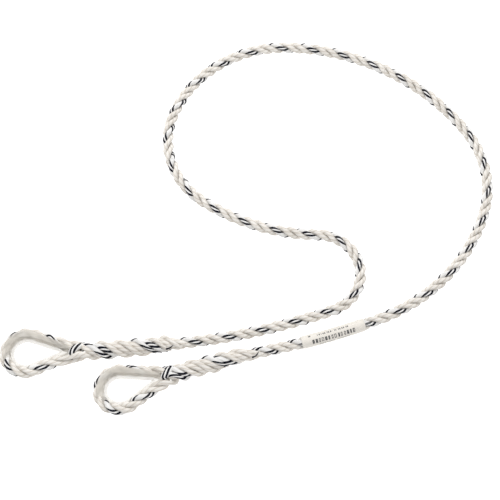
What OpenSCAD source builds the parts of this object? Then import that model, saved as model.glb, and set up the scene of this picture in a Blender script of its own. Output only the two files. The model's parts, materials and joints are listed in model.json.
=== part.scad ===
// Three-strand rope lanyard with a thimble eye spliced into each end.
// The origin is the crown centre of eye A, whose throat points along +X. +Z is up, and the
// rope's centreline lies in the plane z = 0. The rope is cut into stretches, each one a
// straight or an arc that is tangent to its neighbours. Both ends of a stretch stop short of
// the hinge point, which leaves the room that its flat ends need when it turns.

/* [Rope] */
// Diameter of the rope over its three strands
rope_d = 12; // [11:0.5:13]
// Space between two strands, so that they stay separate solids
strand_gap = 0.1; // [0.05:0.05:0.3]
// Distance from the end of a stretch to its hinge point
hinge_gap = 2.4; // [2.4:0.1:4]

/* [Thimbles] */
// Radius of the bearing surface round the crown
eye_r = 13; // [11:0.5:16]
// Thickness of the web under the rope
web_t = 3.2; // [2:0.2:4]
// Overall thickness across the two flanges
thimble_t = 15.4; // [15:0.2:16.4]
// Height of the straight band in the middle of the bearing surface
land_h = 4; // [2:1:6]
// Radius of the rounding across the bearing surface
bulge_r = 9; // [8.6:0.2:12]
// Radius of the flanges round the crown
flange_r = 24; // [22:0.5:25]
// Angle between each leg and the eye's centreline
leg_angle = 21; // [18:1:24]
// Half of the width across the flanges at the throat
tip_w = 4.5; // [3:0.5:6]

/* [Splices] */
// Length of splice A along the rope
splice_a_length = 135; // [110:5:160]
// Turn of splice A in degrees, positive to the left
splice_a_turn = 5; // [-10:0.5:10]
// Length of splice B along the rope
splice_b_length = 120; // [110:5:160]
// Turn of splice B in degrees
splice_b_turn = 5; // [-10:0.5:10]
// Difference in length between one tucked strand end and the next
tail_step = 14; // [5:1:18]
// Bare rope between the end of a tail and the hinge
tail_margin = 12; // [8:1:20]

/* [Stretches of rope] */
// Length of the stretch after splice A
run_a_length = 150; // [140:5:160]
// Turn of the stretch after splice A
run_a_turn = 12.5; // [10:0.5:14]
// Length of the tight bend
hairpin_length = 125; // [120:1:130]
// Turn of the tight bend
hairpin_turn = 159; // [155:0.5:162]
// Length of the stretch that runs back
back_run_length = 135; // [130:5:140]
// Turn of the stretch that runs back
back_run_turn = -33.5; // [-35:0.5:-32]
// Length of the left-hand bend
left_bend_length = 125; // [120:5:130]
// Turn of the left-hand bend
left_bend_turn = -77; // [-80:0.5:-75]
// Length of the far side's left half
far_left_length = 165; // [160:5:170]
// Turn of the far side's left half
far_left_turn = -70; // [-72:0.5:-68]
// Length of the far side's right half
far_right_length = 235; // [230:5:240]
// Turn of the far side's right half
far_right_turn = -54; // [-56:0.5:-52]
// Length of the right-hand bend
right_bend_length = 110; // [105:5:115]
// Turn of the right-hand bend
right_bend_turn = -54; // [-56:0.5:-52]
// Length of the near stretch
front_run_length = 175; // [170:5:180]
// Turn of the near stretch
front_run_turn = -49.5; // [-51:0.5:-48]
// Length of the stretch that carries the label
label_run_length = 120; // [115:5:125]
// Turn of the stretch that carries the label
label_run_turn = -8.5; // [-10:0.5:-7]

/* [Label] */
// Length of the clear sleeve
sleeve_length = 82; // [70:1:85]
// Length of the label under the sleeve
label_length = 70; // [50:1:70]
// Wall of the clear sleeve
sleeve_wall = 0.8; // [0.6:0.1:1]
// Thickness of the wrapped label
label_t = 0.3; // [0.2:0.05:0.4]
// Distance from the stretch's start to the sleeve
sleeve_start = 12; // [10:1:20]

/* [Hidden] */
$fn = 64;

ROPE_COLOR = [0.91, 0.88, 0.84];
TRACER_STRAND_COLOR = [0.97, 0.97, 0.98];
THIMBLE_COLOR = [0.84, 0.82, 0.77];
LABEL_COLOR = [0.93, 0.92, 0.88];
SLEEVE_COLOR = [0.85, 0.87, 0.87, 0.4];

// Places of the stretches in the chain, from eye A to eye B
SPLICE_A = 0;
RUN_A = 1;
HAIRPIN = 2;
BACK_RUN = 3;
LEFT_BEND = 4;
FAR_LEFT = 5;
FAR_RIGHT = 6;
RIGHT_BEND = 7;
FRONT_RUN = 8;
LABEL_RUN = 9;
SPLICE_B = 10;

lengths = [
    splice_a_length, run_a_length, hairpin_length, back_run_length, left_bend_length, far_left_length,
    far_right_length, right_bend_length, front_run_length, label_run_length, splice_b_length
];
turns = [
    splice_a_turn, run_a_turn, hairpin_turn, back_run_turn, left_bend_turn, far_left_turn,
    far_right_turn, right_bend_turn, front_run_turn, label_run_turn, splice_b_turn
];

rope_r = rope_d / 2;
clearance = 0.2;

// Three equal circles that touch fill a circle of radius rope_r
strand_r = rope_r / (1 + 2 / sqrt(3)) - strand_gap / 2;
strand_orbit = rope_r - strand_r;

// A tail lies in the valley between two strands, a clearance away from both
tail_reach = 2 * strand_r + clearance;
tail_orbit = strand_orbit / 2 + sqrt(pow(tail_reach, 2) - pow(strand_orbit * sin(60), 2));

// The legs are swept from a section this much smaller, and start inside the crown
leg_inset = 0.05;
leg_overlap = 0.6;

// The rope's centreline round the thimble, and where its two legs meet
groove_r = rope_r + clearance;
loop_r = eye_r + web_t + groove_r;
crown_start = 90 - leg_angle;
crown_angle = 180 + 2 * leg_angle;
throat_x = (loop_r - rope_r) / sin(leg_angle) - 0.5;
leg_length = (throat_x - loop_r * sin(leg_angle)) / cos(leg_angle) + rope_r;
tip_x = throat_x - clearance;

label_r = rope_r + clearance;
sleeve_r = label_r + label_t + clearance;
label_start = sleeve_start + (sleeve_length - label_length) / 2;

// Radius of stretch i
function bend_r(i) = lengths[i] / (abs(turns[i]) * PI / 180);

// Angle that stretch i turns through over a given distance
function turn_over(i, distance) = turns[i] * distance / lengths[i];

// Point that stretch i reaches over a given distance, when it starts at the origin along +X
function reach_over(i, distance) =
    let(a = turn_over(i, distance))
    [bend_r(i) * sin(abs(a)), sign(turns[i]) * bend_r(i) * (1 - cos(a))];

// Direction in which stretch i starts
function heading(i) = i == 0 ? 0 : heading(i - 1) + turns[i - 1];

// Turns a vector by an angle in the plane
function turned(v, a) = [v.x * cos(a) - v.y * sin(a), v.x * sin(a) + v.y * cos(a)];

// Point at which stretch i starts
function start(i) =
    i == 0 ? [throat_x, 0] : start(i - 1) + turned(reach_over(i - 1, lengths[i - 1]), heading(i - 1));

// Angle of strand or tail k round the rope
function strand_angle(k) = 90 + 120 * k;

// Bare rope between the end of tail k and the hinge, staggered so that the splice tapers
function tail_margin_of(k) = tail_margin + (k - 1) * tail_step;

// ---- placing ----

module at_stretch(i) {
    translate(start(i)) rotate([0, 0, heading(i)]) children();
}

// A point part of the way along stretch i
module along_stretch(i, distance) {
    at_stretch(i) translate(reach_over(i, distance)) rotate([0, 0, turn_over(i, distance)]) children();
}

// Eye B's crown centre, a throat's length past the end of the last stretch
module at_eye_b() {
    last = SPLICE_B + 1;
    crown = start(last) + turned([throat_x, 0], heading(last));
    translate(crown) rotate([0, 0, heading(last) + 180]) children();
}

// ---- sweeping a cross-section, whose x is to the left of the rope and whose y is up ----

// Sweeps along stretch i's bend, over a given length, from a given distance
module bend_sweep(i, from, length) {
    r = bend_r(i);
    turn = abs(turn_over(i, length));
    along_stretch(i, from)
        if (turns[i] > 0)
            translate([0, r, 0]) rotate([0, 0, -90]) rotate_extrude(angle = turn)
                translate([r, 0]) mirror([1, 0]) children();
        else
            translate([0, -r, 0]) rotate([0, 0, 90 - turn]) rotate_extrude(angle = turn)
                translate([r, 0]) children();
}

// ---- cross-sections ----

// Strand k, drawn smaller by shrink
module strand_face(k, shrink = 0) {
    rotate(strand_angle(k)) translate([strand_orbit, 0]) circle(strand_r - shrink);
}

// Tail k, in the valley after strand k
module tail_face(k) {
    rotate(strand_angle(k) + 60) translate([tail_orbit, 0]) circle(strand_r);
}

module ring_face(inner_r, wall) {
    difference() {
        circle(inner_r + wall);
        circle(inner_r);
    }
}

// The thimble's section before its groove is cut: x is the distance from the crown's centre.
// A large circle rounds the bearing surface, and crosses the straight band at its two edges.
module thimble_face(shrink) {
    bulge_x = eye_r + sqrt(pow(bulge_r, 2) - pow(land_h / 2, 2));
    width = flange_r - eye_r;
    height = thimble_t - 2 * shrink;
    intersection() {
        translate([eye_r + shrink, -height / 2]) square([width - shrink, height]);
        union() {
            translate([bulge_x, 0]) circle(bulge_r - shrink);
            translate([bulge_x, -thimble_t]) square([flange_r, 2 * thimble_t]);
        }
    }
}

// The groove's section: half round under the rope and open outwards
module groove_face(shrink) {
    translate([loop_r, 0]) circle(groove_r - shrink);
    translate([loop_r, shrink - groove_r]) square([3 * groove_r, 2 * (groove_r - shrink)]);
}

// ---- shapes of an eye, with its crown's centre at the origin and its throat along +X ----

module crown_sweep() {
    rotate([0, 0, crown_start]) rotate_extrude(angle = crown_angle) children();
}

// Both legs, from just inside the crown's ends
module leg_sweep(length) {
    for (side = [0, 1]) mirror([0, side, 0]) rotate([0, 0, crown_start]) rotate([90, 0, 0])
        translate([0, 0, -leg_overlap]) linear_extrude(length + leg_overlap) children();
}

// Cuts the flanges down on both sides, from the crown's full width to tip_w at the throat
module flange_trim() {
    crown_edge = flange_r - 0.4;
    lean = asin(crown_edge / norm([tip_x, tip_w])) - atan(tip_w / tip_x);
    for (side = [0, 1]) mirror([0, side, 0]) rotate([0, 0, 90 - lean])
        translate([crown_edge, -2 * flange_r, -flange_r]) cube([2 * flange_r, 4 * flange_r, 2 * flange_r]);
}

// Everything past a given distance along the eye's centreline
module past_x(x) {
    translate([x, -2 * flange_r, -2 * flange_r]) cube(4 * flange_r);
}

module thimble() {
    color(THIMBLE_COLOR) difference() {
        union() {
            crown_sweep() thimble_face(0);
            leg_sweep(leg_length) thimble_face(leg_inset);
        }
        crown_sweep() groove_face(0);
        leg_sweep(2 * leg_length) groove_face(leg_inset);
        flange_trim();
        past_x(tip_x);
    }
}

module eye_strand(k) {
    difference() {
        union() {
            crown_sweep() translate([loop_r, 0]) strand_face(k);
            leg_sweep(leg_length) translate([loop_r, 0]) strand_face(k, leg_inset);
        }
        past_x(throat_x - clearance);
    }
}

// ---- tint of strand or tail k, where strand 1 is the one with the tracer yarns ----

module strand_tint(k) {
    color(k == 1 ? TRACER_STRAND_COLOR : ROPE_COLOR) children();
}

// ---- the parts ----

module thimble_a() {
    thimble();
}

module thimble_b() {
    at_eye_b() thimble();
}

module eye_a_strand(k) {
    strand_tint(k) eye_strand(k);
}

module eye_b_strand(k) {
    strand_tint(k) at_eye_b() eye_strand(k);
}

module splice_a_strand(k) {
    strand_tint(k) bend_sweep(SPLICE_A, clearance, splice_a_length - clearance - hinge_gap) strand_face(k);
}

module splice_b_strand(k) {
    strand_tint(k) bend_sweep(SPLICE_B, hinge_gap, splice_b_length - clearance - hinge_gap) strand_face(k);
}

module run_strand(i, k) {
    strand_tint(k) bend_sweep(i, hinge_gap, lengths[i] - 2 * hinge_gap) strand_face(k);
}

module tail_a(k) {
    length = splice_a_length - tail_margin_of(k) - clearance;
    strand_tint(k) bend_sweep(SPLICE_A, clearance, length) tail_face(k);
}

module tail_b(k) {
    length = splice_b_length - tail_margin_of(k) - clearance;
    strand_tint(k) bend_sweep(SPLICE_B, tail_margin_of(k), length) tail_face(k);
}

module label() {
    color(LABEL_COLOR) bend_sweep(LABEL_RUN, label_start, label_length) ring_face(label_r, label_t);
}

module label_sleeve() {
    color(SLEEVE_COLOR) bend_sweep(LABEL_RUN, sleeve_start, sleeve_length) ring_face(sleeve_r, sleeve_wall);
}

thimble_a();
eye_a_strand(1);  // eye_a_strand_1
eye_a_strand(2);  // eye_a_strand_2
eye_a_strand(3);  // eye_a_strand_3
splice_a_strand(1);  // splice_a_strand_1
splice_a_strand(2);  // splice_a_strand_2
splice_a_strand(3);  // splice_a_strand_3
tail_a(1);  // tail_a_1
tail_a(2);  // tail_a_2
tail_a(3);  // tail_a_3
thimble_b();
eye_b_strand(1);  // eye_b_strand_1
eye_b_strand(2);  // eye_b_strand_2
eye_b_strand(3);  // eye_b_strand_3
splice_b_strand(1);  // splice_b_strand_1
splice_b_strand(2);  // splice_b_strand_2
splice_b_strand(3);  // splice_b_strand_3
tail_b(1);  // tail_b_1
tail_b(2);  // tail_b_2
tail_b(3);  // tail_b_3
run_strand(RUN_A, 1);  // run_a_strand_1
run_strand(RUN_A, 2);  // run_a_strand_2
run_strand(RUN_A, 3);  // run_a_strand_3
run_strand(HAIRPIN, 1);  // hairpin_strand_1
run_strand(HAIRPIN, 2);  // hairpin_strand_2
run_strand(HAIRPIN, 3);  // hairpin_strand_3
run_strand(BACK_RUN, 1);  // back_run_strand_1
run_strand(BACK_RUN, 2);  // back_run_strand_2
run_strand(BACK_RUN, 3);  // back_run_strand_3
run_strand(LEFT_BEND, 1);  // left_bend_strand_1
run_strand(LEFT_BEND, 2);  // left_bend_strand_2
run_strand(LEFT_BEND, 3);  // left_bend_strand_3
run_strand(FAR_LEFT, 1);  // far_left_strand_1
run_strand(FAR_LEFT, 2);  // far_left_strand_2
run_strand(FAR_LEFT, 3);  // far_left_strand_3
run_strand(FAR_RIGHT, 1);  // far_right_strand_1
run_strand(FAR_RIGHT, 2);  // far_right_strand_2
run_strand(FAR_RIGHT, 3);  // far_right_strand_3
run_strand(RIGHT_BEND, 1);  // right_bend_strand_1
run_strand(RIGHT_BEND, 2);  // right_bend_strand_2
run_strand(RIGHT_BEND, 3);  // right_bend_strand_3
run_strand(FRONT_RUN, 1);  // front_run_strand_1
run_strand(FRONT_RUN, 2);  // front_run_strand_2
run_strand(FRONT_RUN, 3);  // front_run_strand_3
run_strand(LABEL_RUN, 1);  // label_run_strand_1
run_strand(LABEL_RUN, 2);  // label_run_strand_2
run_strand(LABEL_RUN, 3);  // label_run_strand_3
label();
label_sleeve();
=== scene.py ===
import json
import math

import bpy
import numpy as np
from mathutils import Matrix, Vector

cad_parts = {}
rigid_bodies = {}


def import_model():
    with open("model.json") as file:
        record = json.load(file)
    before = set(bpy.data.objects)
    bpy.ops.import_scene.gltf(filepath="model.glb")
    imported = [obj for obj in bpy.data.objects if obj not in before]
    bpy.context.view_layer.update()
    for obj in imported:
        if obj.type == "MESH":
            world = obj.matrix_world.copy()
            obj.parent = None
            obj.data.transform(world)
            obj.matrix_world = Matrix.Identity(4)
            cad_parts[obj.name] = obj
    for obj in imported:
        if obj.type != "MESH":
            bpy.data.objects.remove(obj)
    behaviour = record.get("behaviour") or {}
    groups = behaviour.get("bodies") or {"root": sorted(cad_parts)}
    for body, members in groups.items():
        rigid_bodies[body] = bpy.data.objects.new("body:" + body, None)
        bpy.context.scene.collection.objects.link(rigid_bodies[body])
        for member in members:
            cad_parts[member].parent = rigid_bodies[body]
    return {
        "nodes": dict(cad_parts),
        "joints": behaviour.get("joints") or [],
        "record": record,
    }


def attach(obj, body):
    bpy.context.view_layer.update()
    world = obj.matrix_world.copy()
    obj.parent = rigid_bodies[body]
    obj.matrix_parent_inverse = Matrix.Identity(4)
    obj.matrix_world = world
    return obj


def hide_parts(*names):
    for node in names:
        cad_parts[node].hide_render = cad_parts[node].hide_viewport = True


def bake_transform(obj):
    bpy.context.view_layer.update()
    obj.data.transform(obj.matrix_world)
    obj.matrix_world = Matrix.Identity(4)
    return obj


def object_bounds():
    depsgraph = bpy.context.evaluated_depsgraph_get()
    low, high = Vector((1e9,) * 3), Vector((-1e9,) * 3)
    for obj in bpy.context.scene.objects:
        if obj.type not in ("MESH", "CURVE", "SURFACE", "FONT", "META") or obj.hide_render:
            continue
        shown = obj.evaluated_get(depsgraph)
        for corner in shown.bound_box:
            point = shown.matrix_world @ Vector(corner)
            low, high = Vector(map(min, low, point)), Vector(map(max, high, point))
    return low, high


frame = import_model()
cad_low, cad_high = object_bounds()

# ---- driving dimensions, in metres and degrees ----

MM = 0.001
# The rope is soft and a little fuller than the CAD's plain rods
ROPE_R = 6.4 * MM
STRAND_R = 2.96 * MM
ORBIT = ROPE_R - STRAND_R
# A strand's section is a little wider than it is deep
STRAND_WIDTH = 1.09
STRAND_DEPTH = 0.99
# Length over which the strands go once round the rope
LAY = 36.52 * MM
# Turns of the yarns round their strand in one lay, against the lay
YARN_TURNS = 3.046
COLUMNS_PER_YARN = 4
# Depth of the grooves between the yarns, as a share of the strand's radius, and their shape
YARN_GROOVE = 0.21
GROOVE_POWER = 1.6
# How many degrees of the strand each yarn covers
PLAIN_YARNS = [40.0] * 9
TRACER_STRAND_YARNS = [46.0, 67.0] + [36.0] * 5 + [67.0]
# Share by which the yarns bunch towards the strand's outer side
YARN_BUNCHING = 0.25
# Distance between the rings of a strand's mesh
RING_STEP = 1.2 * MM
# Distance along the rope from eye A's throat at which a tracer pair faces straight out,
# and the side it faces there: 0 is left of the travel, 90 is up
TRACER_AT = 169 * MM
TRACER_ANGLE = 113
TRACER_YARNS = (1, len(TRACER_STRAND_YARNS) - 1)
# The yarns of the plain strands that are painted a little darker than the others: painted shade
# standing in for the creases between the yarns
PAINTED_SHADE_YARNS = (0, 3, 6)

# The rope's line round a thimble, with the same numbers as in part.scad
LOOP_R = 22.4 * MM
LEG_ANGLE = 21
THROAT_X = 45.263 * MM
# Where the straight legs end, and where the two sides of the splice have met
LEG_END_X = 35 * MM
MERGE = 24 * MM
# Points along the splice's axis, round the crown and along each turn into the legs
AXIS_POINTS = 60
CROWN_POINTS = 160
TURN_POINTS = 30

# The splice's lay stretches from its far end to the throat
SPLICE_LAY_FAR = {"eye_a": 43 * MM, "eye_b": 48 * MM}
SPLICE_LAY_THROAT = {"eye_a": 60.3 * MM, "eye_b": 50 * MM}
SPLICE_YARN_PITCH = 16.4 * MM
# How far the standing and the tucked strands lie from the splice's middle
STANDING_ORBIT = 4.6 * MM
TUCKED_ORBIT = 7.1 * MM
# Degrees round the splice from a standing strand to the tucked one beside it
TUCKED_OFFSET = 60
# The splice stops this far short of the eye's hinge
TAIL_MARGIN = 12 * MM
# Side of the splice on which the tucked strands end
TAIL_ANGLE = 150

# The lay of the strands and the pitch of their yarns in the loop
LOOP_LAY = 38.7 * MM
LOOP_YARN_PITCH = 12.9 * MM
# Turn that the rope and its yarns take up on the way into the loop, in degrees
LOOP_SHIFT = {"eye_a": 0, "eye_b": 30}
LOOP_YARN_SHIFT = {"eye_a": 269, "eye_b": 240}
# Share by which the thimble's groove squeezes the rope, and the shares of the loop
# between which the rope comes out of it
GROOVE_SQUEEZE = 0.05
GROOVE_EXIT = (0.5, 0.6)
# The near leg rides up over the flange: how far, and between which shares of the loop
LEG_RISE = 5.2 * MM
LEG_CLIMB = (0.42, 0.66)

# Distances past the throat, on the way into the loop, between which the standing strands
# draw together, the rope enters the groove and the loop's turn is taken up
NARROW_SPAN = (-18 * MM, 4 * MM)
GROOVE_SPAN = (-6 * MM, 4 * MM)
TAKE_UP_SPAN = (-4 * MM, 14 * MM)
# The same on the way out: the near leg comes down from the flange, the tucked strands
# spread, the turn that is left over is made, and the yarns settle
DESCENT_SPAN = (-8 * MM, 12 * MM)
SPREAD_SPAN = (4 * MM, 30 * MM)
TURN_SPAN = (0, 30 * MM)
SETTLE_SPAN = (0, 20 * MM)
# Distances past the end of the bare rope between which the splice fills out
FILL_SPAN = (0, 30 * MM)
# How much fuller the strands are in the splice
STANDING_SWELL = 0.10
TUCKED_SWELL = 0.06
# How far the strands stray in the splice, outwards and, in degrees, round it. The stray
# round it is the one outwards, shifted along by a few rings.
WANDER_KNOTS = 24
WANDER_OUT = 0.45 * MM
WANDER_ROUND = 9
WANDER_DELAY = 7
# The end of a tucked strand dives between the others and thins out
DIVE_LENGTH = 14 * MM
DIVE_DEPTH = 0.9 * MM
DIVE_TAPER = 0.25

# The frayed yarns at that end. The dark ones are longer, thicker and straighter.
FRAY_SIDES = 6
FRAY_STEPS = 5
FRAY_LENGTH = 5 * MM
FRAY_LENGTH_RANGE = (0.7, 1.2)
FRAY_SPREAD_RANGE = (0.15, 0.75)
FRAY_SWAY = 0.25
FRAY_THICK = 0.62 * MM
FRAY_TAPER = 0.6
# Where a yarn starts: at this share of the strand's radius, and this share of its own
# length back inside the strand
FRAY_ROOT = 0.72
FRAY_BACK = 0.12
DARK_FRAY_LENGTH = 1.9
DARK_FRAY_SPREAD = 0.4
DARK_FRAY_THICK = 1.15 * MM

# The throat tuck is an arch over the neck. It reaches across towards the far and the near
# leg, and along the splice it is slanted and hooked.
TUCK_POINTS = 30
TUCK_FAR = 6.0 * MM
TUCK_NEAR = {"eye_a": 6.0 * MM, "eye_b": 2.8 * MM}
TUCK_SIDE = 0.2 * MM
TUCK_HEIGHT = 5.9 * MM
TUCK_LIFT = 0.6 * MM
TUCK_PAST_THROAT = 5.0 * MM
TUCK_SLANT = 5.5 * MM
TUCK_HOOK = 3.0 * MM
TUCK_SWELL = 1.15
# How steeply the tuck's outer side turns upwards
TUCK_LEAN = 1.3
# Angle of the arch at which the tracers face out, and how far they turn as it goes on
TUCK_TRACER_AT = 100
TUCK_TRACER_TURN = 0.7

# The label and its sleeve: distances along the label's stretch of rope, and radii
SLEEVE_START = 12 * MM
SLEEVE_LENGTH = 82 * MM
SLEEVE_R = 7.7 * MM
SLEEVE_WALL = 0.6 * MM
SLEEVE_LUMPS = 0.12 * MM
LABEL_R = 6.85 * MM
LABEL_WALL = 0.3 * MM
LABEL_LUMPS = 0.06 * MM
LABEL_COLUMNS = 144
LABEL_START = 18 * MM
LABEL_LENGTH = 70 * MM
FILM_STEP = 0.6 * MM
# The film's ends are drawn in a little
END_LENGTH = 3 * MM
END_DIP = 0.45 * MM
# The rows of bars on the label: each bar's width varies, and in the finely pitched rows
# many of them have a hole
BAR_COUNT = 60
BAR_WIDTH_RANGE = 0.25
FINE_PITCH = 4 * MM
HOLE_SHARE = 0.55
HOLE_HALF_WIDTH = 0.11
HOLE_HALF_HEIGHT = 0.32

BODIES = [
    "eye_a", "run_a", "hairpin", "back_run", "left_bend", "far_left",
    "far_right", "right_bend", "front_run", "label_run", "eye_b",
]
# The floor lies below the lowest point that the rope's ends droop to
FLOOR_DROP = 250 * MM
FLOOR_SIZE = 14
UP = np.array([0.0, 0.0, 1.0])
TAU = 2 * math.pi


# ---- the rope's path, rebuilt from the joints ----

def joint_point(a, b):
    """The hinge point between two neighbouring bodies, in the lanyard's plane."""
    for joint in frame["joints"]:
        if {joint["parent"], joint["child"]} == {a, b}:
            return np.array(joint["pos_m"][:2])
    raise ValueError("no joint between " + a + " and " + b)


def mount_point(name):
    """A mount's point in the lanyard's plane."""
    for mount in frame["record"]["mounts"]:
        if mount["name"] == name:
            return np.array(mount["pos_m"][:2])
    raise ValueError("no mount " + name)


def bearing(v):
    return math.atan2(v[1], v[0])


def wrapped(angle):
    """The same angle, between -pi and pi."""
    return (angle + math.pi) % TAU - math.pi


def arc_to(start, heading, end):
    """The arc that leaves start at a heading and reaches end: start, heading, turn and length."""
    turn = 2 * wrapped(bearing(end - start) - heading)
    radius = np.linalg.norm(end - start) / (2 * math.sin(abs(turn) / 2))
    return start, heading, turn, radius * abs(turn)


def build_arcs():
    """The arcs of the whole path, one a body, from eye A's throat to eye B's."""
    hinges = [joint_point(a, b) for a, b in zip(BODIES, BODIES[1:])]
    arcs = []
    start, heading = np.array([THROAT_X, 0.0]), 0.0
    for hinge in hinges:
        arc = arc_to(start, heading, hinge)
        arcs.append(arc)
        start, heading = hinge, heading + arc[2]
    # Eye B's throat depends on the heading there, so the two are found together
    crown = mount_point("eye_b")
    turn = 0.0
    for _ in range(30):
        out = heading + turn
        throat = crown - THROAT_X * np.array([math.cos(out), math.sin(out)])
        turn = 2 * wrapped(bearing(throat - start) - heading)
    arcs.append(arc_to(start, heading, throat))
    return arcs


ARCS = build_arcs()
STARTS = np.concatenate([[0.0], np.cumsum([arc[3] for arc in ARCS])])
TOTAL = STARTS[-1]


def path(s):
    """Points and headings of the rope's centreline at distances s from eye A's throat."""
    s = np.atleast_1d(np.asarray(s, float))
    index = np.clip(np.searchsorted(STARTS, s, side="right") - 1, 0, len(ARCS) - 1)
    points = np.zeros((len(s), 3))
    headings = np.zeros(len(s))
    for i, (start, heading, turn, length) in enumerate(ARCS):
        here = index == i
        along = s[here] - STARTS[i]
        angle = turn * along / length
        radius = length / turn
        x, y = radius * np.sin(angle), radius * (1 - np.cos(angle))
        points[here, 0] = start[0] + x * math.cos(heading) - y * math.sin(heading)
        points[here, 1] = start[1] + x * math.sin(heading) + y * math.cos(heading)
        headings[here] = heading + angle
    return points, headings


def left_of(headings):
    return np.stack([-np.sin(headings), np.cos(headings), np.zeros_like(headings)], 1)


def lay_angle(s):
    """Angle of strand 1 round the rope at distance s, in radians."""
    return math.radians(TRACER_ANGLE) + TAU * (s - TRACER_AT) / LAY


def yarn_angle(s):
    """Angle of a strand's first yarn round it at distance s, from the strand's outer side."""
    return -TAU * YARN_TURNS * (s - TRACER_AT) / LAY


def smooth(x, low, high):
    """Goes smoothly from 0 at low to 1 at high."""
    t = np.clip((x - low) / (high - low), 0, 1)
    return t * t * (3 - 2 * t)


def over(q, origin, span):
    """Goes smoothly from 0 to 1 over a span of distances past an origin."""
    return smooth(q, origin + span[0], origin + span[1])


# ---- materials ----

def new_material(name):
    material = bpy.data.materials.new(name)
    material.use_nodes = True
    tree = material.node_tree
    return material, tree, tree.nodes["Principled BSDF"]


def add_node(tree, kind, **values):
    """A new node with its inputs, or else its settings, filled in by name."""
    node = tree.nodes.new(kind)
    for key, value in values.items():
        if key in node.inputs:
            node.inputs[key].default_value = value
        else:
            setattr(node, key, value)
    return node


def stretched_noise(tree, source, stretch, detail=4.0, roughness=0.6):
    """Noise in a coordinate that is scaled by stretch."""
    coordinates = add_node(tree, "ShaderNodeTexCoord")
    mapping = add_node(tree, "ShaderNodeMapping", Scale=stretch)
    tree.links.new(coordinates.outputs[source], mapping.inputs["Vector"])
    noise = add_node(tree, "ShaderNodeTexNoise", Scale=1.0, Detail=detail, Roughness=roughness)
    tree.links.new(mapping.outputs["Vector"], noise.inputs["Vector"])
    return noise


def ramp_between(tree, factor, dark, light, low=0.3, high=0.7):
    ramp = add_node(tree, "ShaderNodeValToRGB")
    ramp.color_ramp.elements[0].position = low
    ramp.color_ramp.elements[0].color = (*dark, 1)
    ramp.color_ramp.elements[1].position = high
    ramp.color_ramp.elements[1].color = (*light, 1)
    tree.links.new(factor, ramp.inputs["Fac"])
    return ramp


def yarn_material(name, dark, light, roughness, specular=0.35, sheen=0.15):
    """Twisted synthetic yarn: fine filaments along each yarn, and slow changes of tone."""
    material, tree, shader = new_material(name)
    filaments = stretched_noise(tree, "UV", (1.1, 7.0, 1.0))
    patches = stretched_noise(tree, "Object", (55.0, 55.0, 55.0), detail=2.0)
    filament_share = 0.65
    mixed = add_node(tree, "ShaderNodeMath", operation="MULTIPLY_ADD")
    mixed.inputs[1].default_value = filament_share
    tree.links.new(filaments.outputs["Fac"], mixed.inputs[0])
    share = add_node(tree, "ShaderNodeMath", operation="MULTIPLY")
    share.inputs[1].default_value = 1 - filament_share
    tree.links.new(patches.outputs["Fac"], share.inputs[0])
    tree.links.new(share.outputs[0], mixed.inputs[2])
    ramp = ramp_between(tree, mixed.outputs[0], dark, light)
    tree.links.new(ramp.outputs["Color"], shader.inputs["Base Color"])
    shader.inputs["Roughness"].default_value = roughness
    shader.inputs["Specular IOR Level"].default_value = specular
    shader.inputs["Sheen Weight"].default_value = sheen
    bump = add_node(tree, "ShaderNodeBump", Strength=0.8, Distance=0.0004)
    tree.links.new(filaments.outputs["Fac"], bump.inputs["Height"])
    tree.links.new(bump.outputs["Normal"], shader.inputs["Normal"])
    return material


def thimble_material():
    """Natural translucent plastic with faint flow marks and fine scuffs."""
    material, tree, shader = new_material("thimble_plastic")
    flow = stretched_noise(tree, "Object", (38.0, 38.0, 90.0), detail=3.0)
    ramp = ramp_between(tree, flow.outputs["Fac"], (0.60, 0.56, 0.50), (0.73, 0.70, 0.64))
    tree.links.new(ramp.outputs["Color"], shader.inputs["Base Color"])
    shader.inputs["Alpha"].default_value = 0.41
    scuffs = stretched_noise(tree, "Object", (900.0, 900.0, 900.0), detail=5.0)
    rough = ramp_between(tree, scuffs.outputs["Fac"], (0.28,) * 3, (0.42,) * 3)
    tree.links.new(rough.outputs["Color"], shader.inputs["Roughness"])
    bump = add_node(tree, "ShaderNodeBump", Strength=0.12, Distance=0.0003)
    tree.links.new(scuffs.outputs["Fac"], bump.inputs["Height"])
    tree.links.new(bump.outputs["Normal"], shader.inputs["Normal"])
    return material


def film_material(name, dark, light, roughness, alpha=1.0, coat=0.0):
    """Printed or clear film, with slight creases."""
    material, tree, shader = new_material(name)
    tone = stretched_noise(tree, "UV", (3.0, 2.0, 1.0), detail=3.0)
    ramp = ramp_between(tree, tone.outputs["Fac"], dark, light)
    tree.links.new(ramp.outputs["Color"], shader.inputs["Base Color"])
    shader.inputs["Roughness"].default_value = roughness
    shader.inputs["Alpha"].default_value = alpha
    shader.inputs["Coat Weight"].default_value = coat
    creases = stretched_noise(tree, "UV", (1.2, 6.0, 1.0), detail=2.0)
    bump = add_node(tree, "ShaderNodeBump", Strength=0.25, Distance=0.0005)
    tree.links.new(creases.outputs["Fac"], bump.inputs["Height"])
    tree.links.new(bump.outputs["Normal"], shader.inputs["Normal"])
    return material


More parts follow.
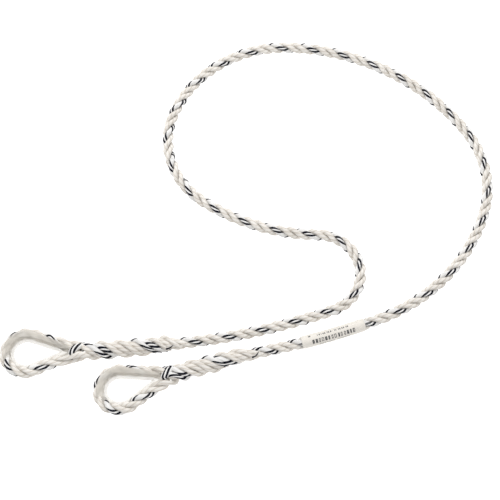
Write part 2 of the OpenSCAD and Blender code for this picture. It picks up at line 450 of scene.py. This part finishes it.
CREAM = yarn_material("cream_yarn", (0.67, 0.63, 0.57), (0.97, 0.945, 0.91), roughness=0.5)
WHITE = yarn_material("white_yarn", (0.73, 0.72, 0.705), (0.94, 0.935, 0.925), roughness=0.45)
# Painted shade: a darker cream for some yarns of the plain strands, in place of the shade in the
# creases between yarns
SHADED_CREAM = yarn_material("beige_yarn", (0.50, 0.45, 0.39), (0.86, 0.81, 0.74), roughness=0.55)
NAVY = yarn_material(
    "navy_yarn", (0.002, 0.002, 0.005), (0.009, 0.009, 0.02),
    roughness=0.55, specular=0.12, sheen=0.0,
)
PLASTIC = thimble_material()
LABEL = film_material("label_film", (0.69, 0.65, 0.59), (0.81, 0.77, 0.71), roughness=0.55)
INK = film_material("label_ink", (0.004, 0.004, 0.004), (0.018, 0.016, 0.015), roughness=0.7)
SLEEVE = film_material(
    "clear_sleeve", (0.84, 0.84, 0.82), (0.95, 0.95, 0.94),
    roughness=0.2, alpha=0.06, coat=0.35,
)


# ---- swept meshes ----

def mesh_object(name, points, faces, materials, indices=None, uvs=None, flat=None):
    """A new object from points (n, 3) and quads or polygons, smooth apart from the flat ones."""
    mesh = bpy.data.meshes.new(name)
    mesh.from_pydata([tuple(p) for p in points.tolist()], [], faces)
    for material in materials:
        mesh.materials.append(material)
    smooth_flags = np.ones(len(faces), bool)
    if flat is not None:
        smooth_flags[flat] = False
    mesh.polygons.foreach_set("use_smooth", smooth_flags)
    if indices is not None:
        mesh.polygons.foreach_set("material_index", np.asarray(indices, np.int32))
    if uvs is not None:
        layer = mesh.uv_layers.new(name="UVMap")
        layer.data.foreach_set("uv", np.asarray(uvs, np.float32).ravel())
    mesh.update()
    piece = bpy.data.objects.new(name, mesh)
    bpy.context.scene.collection.objects.link(piece)
    return piece


def tube_faces(rings, columns):
    """Quads between neighbouring rings, and a polygon over each end."""
    i, j = np.meshgrid(np.arange(rings - 1), np.arange(columns), indexing="ij")
    i, j = i.ravel(), j.ravel()
    after = (j + 1) % columns
    here, above = i * columns, (i + 1) * columns
    faces = np.stack([here + j, here + after, above + after, above + j], 1).tolist()
    faces.append(list(range(columns - 1, -1, -1)))
    last = (rings - 1) * columns
    faces.append(list(range(last, last + columns)))
    return faces, i, j


def tube_uvs(distance, across, i, j, columns, faces):
    """One UV pair for each corner: distance along, in centimetres, and yarns across."""
    u0, u1 = distance[i] / 0.01, distance[i + 1] / 0.01
    v0 = j * across / columns
    v1 = (j + 1) * across / columns
    quads = np.stack([u0, v0, u0, v1, u1, v1, u1, v0], 1).reshape(-1, 2)
    caps = np.zeros((len(faces[-1]) + len(faces[-2]), 2))
    return np.concatenate([quads, caps])


def column_angles(widths):
    """Angles of a strand's mesh columns, in radians, from the middle of its first yarn."""
    edges = np.cumsum([-widths[0] / 2] + list(widths))
    shares = np.arange(COLUMNS_PER_YARN) / COLUMNS_PER_YARN
    return np.radians((edges[:-1, None] + np.outer(widths, shares)).ravel())


def sweep_strand(name, k, centre, left, up, lay, yarn, orbit, radius, distance):
    """One strand of yarns. lay is its angle round the rope, and yarn its yarns' angle round it.
    Strand 1 carries the tracers."""
    out = np.cos(lay)[:, None] * left + np.sin(lay)[:, None] * up
    side = -np.sin(lay)[:, None] * left + np.cos(lay)[:, None] * up
    widths = TRACER_STRAND_YARNS if k == 1 else PLAIN_YARNS
    columns = len(widths) * COLUMNS_PER_YARN
    turn = column_angles(widths)
    in_yarn = math.pi * np.arange(columns) / COLUMNS_PER_YARN
    crest = 1 - YARN_GROOVE * np.abs(np.cos(in_yarn)) ** GROOVE_POWER
    angle = yarn[:, None] + turn[None]
    angle = angle - YARN_BUNCHING * np.sin(angle)
    reach = radius[:, None] * crest[None]
    middle = centre + orbit[:, None] * out
    points = (
        middle[:, None]
        + (reach * np.cos(angle) * STRAND_DEPTH)[..., None] * out[:, None]
        + (reach * np.sin(angle) * STRAND_WIDTH)[..., None] * side[:, None]
    )
    faces, i, j = tube_faces(len(centre), columns)
    indices = np.zeros(len(faces), int)
    # For the plain strands the second tone is painted shade for the creases between yarns; for
    # strand 1 it is the navy tracer yarns
    second_tone = TRACER_YARNS if k == 1 else PAINTED_SHADE_YARNS
    indices[: len(j)] = np.isin(j // COLUMNS_PER_YARN, second_tone)
    uvs = tube_uvs(distance, len(widths), i, j, columns, faces)
    materials = [WHITE, NAVY] if k == 1 else [CREAM, SHADED_CREAM]
    flat = [len(faces) - 1, len(faces) - 2]
    piece = mesh_object(name, points.reshape(-1, 3), faces, materials, indices, uvs, flat)
    return piece, points


# ---- bare rope: each piece runs from the middle of one body to the middle of the next ----

def rope_piece(index, k, start, end):
    """Strand k across the hinge between the body at index and the next one."""
    count = int(math.ceil((end - start) / RING_STEP)) + 1
    s = np.linspace(start, end, count)
    centre, headings = path(s)
    left = left_of(headings)
    up = np.broadcast_to(UP, left.shape)
    lay = lay_angle(s) + TAU * (k - 1) / 3
    a, b = BODIES[index], BODIES[index + 1]
    piece, _ = sweep_strand(
        a + "_to_" + b + "_strand_" + str(k), k, centre, left, up, lay, yarn_angle(s),
        np.full(count, ORBIT), np.full(count, STRAND_R), s,
    )
    hinge, heading = path(STARTS[index + 1])
    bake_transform(piece)
    return piece


def build_rope():
    middles = (STARTS[:-1] + STARTS[1:]) / 2
    cuts = [STARTS[1] - TAIL_MARGIN, *middles[1:-1], STARTS[-2] + TAIL_MARGIN]
    for index, (first, last) in enumerate(zip(cuts, cuts[1:])):
        for k in (1, 2, 3):
            piece = rope_piece(index, k, first, last)
            body = BODIES[index + 1]
            if body != "eye_b":
                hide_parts(body + "_strand_" + str(k))


# ---- eyes: each strand runs down the splice, round the thimble and back into the splice ----

def hermite(p0, t0, p1, t1, count):
    """A smooth line from p0 to p1 that leaves and arrives in the directions t0 and t1."""
    f = np.linspace(0, 1, count)[:, None]
    reach = np.linalg.norm(p1 - p0)
    return (
        (2 * f**3 - 3 * f**2 + 1) * p0 + (f**3 - 2 * f**2 + f) * t0 * reach
        + (3 * f**2 - 2 * f**3) * p1 + (f**3 - f**2) * t1 * reach
    )


def resampled(points, step):
    """The same line with points that are evenly spaced, and their distances."""
    lengths = np.concatenate([[0], np.cumsum(np.linalg.norm(np.diff(points, axis=0), axis=1))])
    count = int(math.ceil(lengths[-1] / step)) + 1
    even = np.linspace(0, lengths[-1], count)
    return np.stack([np.interp(even, lengths, points[:, i]) for i in range(3)], 1), even


class Eye:
    """One eye: its crown centre, the way its throat points, and the splice beyond the throat."""

    def __init__(self, name):
        self.name = name
        self.at_end = name == "eye_b"
        throat, heading = path(TOTAL if self.at_end else 0.0)
        self.facing = heading[0] + (math.pi if self.at_end else 0.0)
        self.x = np.array([math.cos(self.facing), math.sin(self.facing), 0.0])
        self.y = np.array([-self.x[1], self.x[0], 0.0])
        self.crown = throat[0] - THROAT_X * self.x
        self.splice_length = ARCS[-1][3] if self.at_end else ARCS[0][3]

    def axis(self, d):
        """Points on the splice's axis at distances d beyond the throat."""
        return path(TOTAL - d if self.at_end else d)[0]

    def along_rope(self, d):
        """The same distances d, counted from eye A's throat."""
        return TOTAL - d if self.at_end else d

    def place(self, x, y):
        """Points at x and y in the eye's own plane, from its crown centre."""
        return self.crown + np.outer(x, self.x) + np.outer(y, self.y)


def loop_line(eye, far_end, tail_end):
    """The rope's line in an eye: down the splice, round the crown and up the splice again.
    Returns its points, their distances, and the distances at which it enters and leaves
    the loop."""
    leg = math.radians(LEG_ANGLE)
    leg_dir = np.array([-math.cos(leg), math.sin(leg)])
    crown_from = np.array([math.sin(leg), math.cos(leg)]) * LOOP_R
    leg_end = crown_from - leg_dir * (LEG_END_X - crown_from[0]) / math.cos(leg)
    inward = eye.axis(np.linspace(far_end, MERGE, AXIS_POINTS))
    outward = eye.axis(np.linspace(MERGE, tail_end, AXIS_POINTS))
    crown_angles = np.linspace(math.pi / 2 - leg, 1.5 * math.pi + leg, CROWN_POINTS)
    crown = eye.place(LOOP_R * np.cos(crown_angles), LOOP_R * np.sin(crown_angles))
    far_leg = eye.place([leg_end[0]], [leg_end[1]])[0]
    near_leg = eye.place([leg_end[0]], [-leg_end[1]])[0]
    far_dir = eye.x * leg_dir[0] + eye.y * leg_dir[1]
    near_dir = -eye.x * leg_dir[0] + eye.y * leg_dir[1]
    in_dir = inward[-1] - inward[-2]
    in_dir /= np.linalg.norm(in_dir)
    into = hermite(inward[-1], in_dir, far_leg, far_dir, TURN_POINTS)
    out_of = hermite(near_leg, near_dir, outward[0], -in_dir, TURN_POINTS)
    points = np.concatenate([inward, into[1:], crown, out_of, outward[1:]])
    before = np.linalg.norm(np.diff(np.concatenate([inward, into[1:]]), axis=0), axis=1).sum()
    tail = np.linalg.norm(np.diff(np.concatenate([out_of, outward[1:]]), axis=0), axis=1).sum()
    even, distance = resampled(points, RING_STEP)
    return even, distance, before, distance[-1] - tail


def splice_turn(eye, x, length):
    """Angle that the splice turns through over a distance x from the throat."""
    near, far = SPLICE_LAY_THROAT[eye.name], SPLICE_LAY_FAR[eye.name]
    change = (far - near) / length
    return TAU * np.log((near + change * x) / near) / change


def strand_turns(eye, k, q, q_in, q_out):
    """Angles of strand k round the rope, and of its yarns round it, at distances q along it."""
    # The angles go on from the bare rope, seen from the other way when it runs backwards
    join = eye.along_rope(eye.splice_length - TAIL_MARGIN)
    lay_join = lay_angle(join) if eye.at_end else math.pi - lay_angle(join)
    yarn_join = yarn_angle(join) if eye.at_end else -yarn_angle(join)
    order = 1 if eye.at_end else -1
    throat_lay = lay_join + splice_turn(eye, q_in, q_in)
    loop = q_out - q_in
    turns = TAU * loop / LOOP_LAY
    taken_up = over(q, q_in, TAKE_UP_SPAN)
    shift = math.radians(LOOP_SHIFT[eye.name])

    # In the splice the tucked strand lies beside the standing one, and the rest of the
    # turn that takes it there comes just past the throat
    wanted = math.pi - throat_lay + math.radians(TUCKED_OFFSET)
    rest = wrapped(wanted - throat_lay - turns - shift) * over(q, q_out, TURN_SPAN)
    standing = throat_lay - splice_turn(eye, np.maximum(q_in - q, 0), q_in)
    looped = throat_lay + turns * (q - q_in) / loop
    tucked = throat_lay + turns + rest + splice_turn(eye, np.maximum(q - q_out, 0), q_in)
    lay = np.where(q < q_in, standing, np.where(q < q_out, looped, tucked))
    lay = lay + order * TAU * (k - 1) / 3 + shift * taken_up

    # What the yarns take up for the loop is given back over the start of the splice
    yarn_shift = math.radians(LOOP_YARN_SHIFT[eye.name])
    yarn_in = yarn_join - TAU * q_in / SPLICE_YARN_PITCH
    yarn_out = yarn_in - TAU * loop * YARN_TURNS / LAY
    gained = wrapped(yarn_shift + TAU * loop * (YARN_TURNS / LAY - 1 / LOOP_YARN_PITCH))
    gained = gained * (1 - over(q, q_out, SETTLE_SPAN))
    standing = yarn_join - TAU * q / SPLICE_YARN_PITCH
    looped = yarn_in - TAU * (q - q_in) / LOOP_YARN_PITCH
    tucked = yarn_out - TAU * (q - q_out) / SPLICE_YARN_PITCH
    yarn = np.where(q < q_in, standing, np.where(q < q_out, looped, tucked))
    yarn = yarn + np.where(q < q_out, yarn_shift * taken_up, gained)
    return lay, yarn


def strand_fullness(eye, k, q, q_in, q_out):
    """How far strand k lies from the rope's middle, how thick it is and how it strays round."""
    loop, end = q_out - q_in, q[-1]
    rng = np.random.default_rng(11 * k + (5 if eye.at_end else 0))
    knots = rng.uniform(-1, 1, WANDER_KNOTS)
    wander = np.interp(q, np.linspace(0, end, WANDER_KNOTS), knots)
    in_standing = over(q, 0, FILL_SPAN) * (1 - over(q, q_in, NARROW_SPAN))
    in_tucked = over(q, q_out, SPREAD_SPAN)
    in_splice = in_standing + in_tucked
    orbit = ORBIT + (STANDING_ORBIT - ORBIT) * in_standing + (TUCKED_ORBIT - ORBIT) * in_tucked
    orbit = orbit + WANDER_OUT * wander * in_splice
    stray = math.radians(WANDER_ROUND) * np.roll(wander, WANDER_DELAY) * in_splice
    dive = smooth(q, end - DIVE_LENGTH, end)
    orbit = orbit - DIVE_DEPTH * dive
    swell = 1 + STANDING_SWELL * in_standing + TUCKED_SWELL * in_tucked
    radius = STRAND_R * swell * (1 - DIVE_TAPER * dive)

    # The far half of the loop lies in the thimble's groove
    entered = over(q, q_in, GROOVE_SPAN)
    left_again = smooth(q, q_in + GROOVE_EXIT[0] * loop, q_in + GROOVE_EXIT[1] * loop)
    squeeze = 1 - GROOVE_SQUEEZE * (entered * (1 - left_again))
    return orbit * squeeze, radius * squeeze, stray


def leg_rise(q, q_in, q_out):
    """How far the loop's near leg rides up over the flange."""
    loop = q_out - q_in
    climbed = smooth(q, q_in + LEG_CLIMB[0] * loop, q_in + LEG_CLIMB[1] * loop)
    return LEG_RISE * (climbed * (1 - over(q, q_out, DESCENT_SPAN)))


def eye_strand(eye, k):
    """Strand k of an eye, from the bare rope to its tucked end."""
    far_end = eye.splice_length - TAIL_MARGIN
    centre, q, q_in, q_out = loop_line(eye, far_end, far_end)
    tangent = np.gradient(centre, axis=0)
    tangent /= np.linalg.norm(tangent, axis=1)[:, None]
    lay, yarn = strand_turns(eye, k, q, q_in, q_out)

    # The tail is cut where it comes round to the wanted side for the last time
    past = (lay[-1] - math.radians(TAIL_ANGLE)) % TAU
    kept = q <= q[-1] - past * SPLICE_LAY_FAR[eye.name] / TAU
    centre, tangent, q, lay, yarn = (line[kept] for line in (centre, tangent, q, lay, yarn))
    left = np.cross(UP, tangent)
    up = np.broadcast_to(UP, left.shape)
    orbit, radius, stray = strand_fullness(eye, k, q, q_in, q_out)
    centre = centre + np.outer(leg_rise(q, q_in, q_out), UP)

    piece, points = sweep_strand(
        eye.name + "_rope_strand_" + str(k), k, centre, left, up, lay + stray, yarn,
        orbit, radius, q,
    )
    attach(piece, eye.name)
    letter = eye.name[-1]
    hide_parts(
        "eye_" + letter + "_strand_" + str(k), "splice_" + letter + "_strand_" + str(k),
        "tail_" + letter + "_" + str(k),
    )
    fray_end(eye, k, points, tangent[-1])


def fray_end(eye, k, points, forward):
    """The cut end of a tucked strand: its yarns spread a little and thin out. The tracers
    show among them, and so does one yarn in strand 2's end."""
    rng = np.random.default_rng(100 + 7 * k + (3 if eye.at_end else 0))
    last = points[-1]
    middle = last.mean(0)
    around = np.arange(FRAY_SIDES) * TAU / FRAY_SIDES
    all_points, all_faces, indices, uvs = [], [], [], []
    for yarn in range(len(last) // COLUMNS_PER_YARN):
        crest = last[yarn * COLUMNS_PER_YARN + COLUMNS_PER_YARN // 2]
        out = (crest - middle) / np.linalg.norm(crest - middle)
        root = middle + (crest - middle) * FRAY_ROOT
        dark = yarn in TRACER_YARNS if k == 1 else k == 2 and yarn == 0
        length = FRAY_LENGTH * rng.uniform(*FRAY_LENGTH_RANGE) * (DARK_FRAY_LENGTH if dark else 1)
        spread = rng.uniform(*FRAY_SPREAD_RANGE) * (DARK_FRAY_SPREAD if dark else 1)
        sway = rng.normal(0, FRAY_SWAY, 3)
        base = sum(len(p) for p in all_points)
        side = np.cross(forward, out)
        round_it = np.outer(np.cos(around), out) + np.outer(np.sin(around), side)
        rings = []
        for f in np.linspace(0, 1, FRAY_STEPS):
            bent = (out * spread + sway) * length * f * f
            centre = root + forward * length * (f - FRAY_BACK) + bent
            thick = (DARK_FRAY_THICK if dark else FRAY_THICK) * (1 - FRAY_TAPER * f)
            rings.append(centre + thick * round_it)
        faces, i, j = tube_faces(FRAY_STEPS, FRAY_SIDES)
        all_points.append(np.concatenate(rings))
        all_faces += [[base + v for v in face] for face in faces]
        indices += [1 if dark else 0] * len(faces)
        uvs.append(tube_uvs(np.linspace(0, length, FRAY_STEPS), 1, i, j, FRAY_SIDES, faces))
    materials = [WHITE if k == 1 else CREAM, NAVY]
    piece = mesh_object(
        eye.name + "_fray_" + str(k), np.concatenate(all_points), all_faces, materials, indices,
        np.concatenate(uvs),
    )
    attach(piece, eye.name)


def throat_tuck(eye):
    """The tracer strand's first tuck, which crosses the neck just past the thimble's tip."""
    # t is the angle of the arch: 0 towards the far leg, pi towards the near one
    t = np.linspace(-0.25, math.pi + 0.2, TUCK_POINTS)
    reach = TUCK_FAR + (TUCK_NEAR[eye.name] - TUCK_FAR) * smooth(t, 1.0, 2.2)
    across = reach * np.cos(t) + TUCK_SIDE
    x = THROAT_X + TUCK_PAST_THROAT + TUCK_SLANT * np.cos(t) + TUCK_HOOK * np.cos(t) ** 2
    height = TUCK_HEIGHT * np.sin(t) + TUCK_LIFT
    centre = eye.place(x, across) + np.outer(height, UP)
    tangent = np.gradient(centre, axis=0)
    tangent /= np.linalg.norm(tangent, axis=1)[:, None]
    out = np.outer(np.cos(t), eye.y) + np.outer(np.sin(t) * TUCK_LEAN, UP)
    out -= (out * tangent).sum(1)[:, None] * tangent
    out /= np.linalg.norm(out, axis=1)[:, None]
    distance = np.concatenate([[0], np.cumsum(np.linalg.norm(np.diff(centre, axis=0), axis=1))])
    zeros = np.zeros(len(t))
    yarn = -TUCK_TRACER_TURN * (t - math.radians(TUCK_TRACER_AT))
    piece, _ = sweep_strand(
        eye.name + "_throat_tuck", 1, centre, out, np.cross(tangent, out), zeros, yarn, zeros,
        zeros + STRAND_R * TUCK_SWELL, distance,
    )
    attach(piece, eye.name)


# ---- label and sleeve ----

def ring_tube(name, start, length, outer, wall, materials, painted=None, lumps=0.0, columns=96):
    """A tube round the label stretch, as one closed wall. Lumps are the strands felt through it."""
    first = STARTS[BODIES.index("label_run")] + start
    count = int(length / FILM_STEP) + 1
    s = np.linspace(first, first + length, count)
    centre, headings = path(s)
    left = left_of(headings)
    a = np.arange(columns) * TAU / columns
    swell = lumps * np.cos(3 * (a[None] - lay_angle(s)[:, None]))
    begun = smooth(s, first, first + END_LENGTH)
    ended = smooth(s, first + length - END_LENGTH, first + length)
    outer_r = outer + swell - END_DIP * (1 - begun + ended)[:, None]
    shape = np.cos(a)[None, :, None] * left[:, None] + np.sin(a)[None, :, None] * UP
    outside = centre[:, None] + outer_r[..., None] * shape
    inside = centre[:, None] + (outer_r - wall)[..., None] * shape
    points = np.concatenate([outside.reshape(-1, 3), inside.reshape(-1, 3)])
    faces, i, j = tube_faces(count, columns)
    faces = faces[:-2]
    half = count * columns
    inner = [[half + v for v in face[::-1]] for face in faces]
    rims = []
    for c in range(columns):
        n = (c + 1) % columns
        last = (count - 1) * columns
        rims.append([c, half + c, half + n, n])
        rims.append([last + c, last + n, half + last + n, half + last + c])
    indices = np.zeros(len(faces) * 2 + len(rims), int)
    if painted is not None:
        indices[: len(faces)] = painted((s[i] + s[i + 1]) / 2 - first, a[j] + 0.5 * TAU / columns)
    # UVs in centimetres along the tube, and with eight columns to a unit round it
    u0, u1, v0, v1 = s[i] * 100, s[i + 1] * 100, j / 8, (j + 1) / 8
    quad_uv = np.stack([u0, v0, u0, v1, u1, v1, u1, v0], 1).reshape(-1, 2)
    uvs = np.concatenate([quad_uv, quad_uv[::-1], np.zeros((4 * len(rims), 2))])
    piece = mesh_object(name, points, faces + inner + rims, materials, indices, uvs)
    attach(piece, "label_run")
    return piece


def print_rows(along, angle):
    """Rows of plain bars, a line and a dot that stand for print: 1 where there is ink."""
    rng = np.random.default_rng(4)
    ink = np.zeros(len(along), int)
    # Angle round the label, height, begin, end, pitch and least width of a bar
    rows = [
        (math.radians(54), 4.3 * MM, 12 * MM, 60.3 * MM, 3.45 * MM, 0.42),
        (math.radians(106), 1.9 * MM, 18 * MM, 53 * MM, 2.1 * MM, 0.4),
        (math.radians(16), 0.6 * MM, 18 * MM, 52 * MM, 17 * MM, 0.8),
        (math.radians(112), 1.9 * MM, 60 * MM, 62 * MM, 2.0 * MM, 1.0),
    ]
    for middle, height, begin, end, pitch, least in rows:
        across = np.abs(wrapped(angle - middle)) * LABEL_R
        cell = np.clip(((along - begin) / pitch).astype(int), 0, BAR_COUNT - 1)
        widths = rng.uniform(least, least + BAR_WIDTH_RANGE, BAR_COUNT)
        inside = (along > begin) & (along < end) & (across < height / 2)
        place = ((along - begin) / pitch) % 1.0
        holed = (rng.random(BAR_COUNT) < HOLE_SHARE) & (pitch < FINE_PITCH)
        in_middle = np.abs(place - widths[cell] / 2) < HOLE_HALF_WIDTH
        hole = holed[cell] & in_middle & (across < height * HOLE_HALF_HEIGHT)
        ink |= (inside & (place < widths[cell]) & ~hole).astype(int)
    return ink


def build_label():
    label = ring_tube(
        "label_wrap", LABEL_START, LABEL_LENGTH, LABEL_R, LABEL_WALL, [LABEL, INK],
        painted=print_rows, lumps=LABEL_LUMPS, columns=LABEL_COLUMNS,
    )
    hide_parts("label")
    sleeve = ring_tube(
        "clear_sleeve_tube", SLEEVE_START, SLEEVE_LENGTH, SLEEVE_R, SLEEVE_WALL, [SLEEVE],
        lumps=SLEEVE_LUMPS,
    )
    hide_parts("label_sleeve")


# ---- thimbles ----

def build_thimbles():
    """The thimbles are the CAD's own, with a material of their own."""
    for name in ("thimble_a", "thimble_b"):
        node = frame["nodes"][name]
        node.data.materials.clear()
        node.data.materials.append(PLASTIC)


# ---- stage, lights and camera ----

def build_stage():
    centre = (cad_low + cad_high) / 2
    floor_place = (centre.x, centre.y, cad_low.z - FLOOR_DROP)
    bpy.ops.mesh.primitive_plane_add(size=FLOOR_SIZE, location=floor_place)
    floor = bpy.context.object
    floor.name = "floor"
    material, _, shader = new_material("floor_white")
    shader.inputs["Base Color"].default_value = (0.88, 0.88, 0.88, 1)
    shader.inputs["Roughness"].default_value = 0.9
    shader.inputs["Emission Color"].default_value = (1, 1, 1, 1)
    shader.inputs["Emission Strength"].default_value = 0.42
    floor.data.materials.append(material)

    world = bpy.data.worlds.new("studio")
    world.use_nodes = True
    background = world.node_tree.nodes["Background"]
    background.inputs["Color"].default_value = (1, 1, 1, 1)
    background.inputs["Strength"].default_value = 0.68
    bpy.context.scene.world = world
    add_light("key", (-0.5, 1.0, 1.6), centre, size=1.6, power=28)
    add_light("fill", (1.1, -0.9, 1.3), centre, size=1.8, power=5)


def add_light(name, offset, target, size, power):
    light = bpy.data.lights.new(name, "AREA")
    light.energy = power
    light.size = size
    lamp = bpy.data.objects.new(name, light)
    bpy.context.scene.collection.objects.link(lamp)
    lamp.location = target + Vector(offset)
    lamp.rotation_euler = (-Vector(offset)).to_track_quat("-Z", "Y").to_euler()


def build_camera():
    """The camera stands on the -Y side and looks down at the lanyard."""
    elevation = math.radians(66.8)
    heading = math.radians(87.5)
    distance = 1.549
    lens = 102.2
    aim = Vector((0.2405, 0.1110, -0.006))
    back = Vector((
        -math.cos(heading) * math.cos(elevation), -math.sin(heading) * math.cos(elevation),
        math.sin(elevation),
    ))
    camera = bpy.data.objects.new("camera", bpy.data.cameras.new("camera"))
    bpy.context.scene.collection.objects.link(camera)
    camera.data.lens = lens
    camera.data.sensor_width = 36
    camera.location = aim + back * distance
    camera.rotation_euler = (-back).to_track_quat("-Z", "Y").to_euler()
    bpy.context.scene.camera = camera


build_rope()
for eye_name in ("eye_a", "eye_b"):
    eye = Eye(eye_name)
    for strand in (1, 2, 3):
        eye_strand(eye, strand)
    throat_tuck(eye)
build_label()
build_thimbles()
build_stage()
build_camera()
bpy.context.scene.view_settings.view_transform = "Standard"
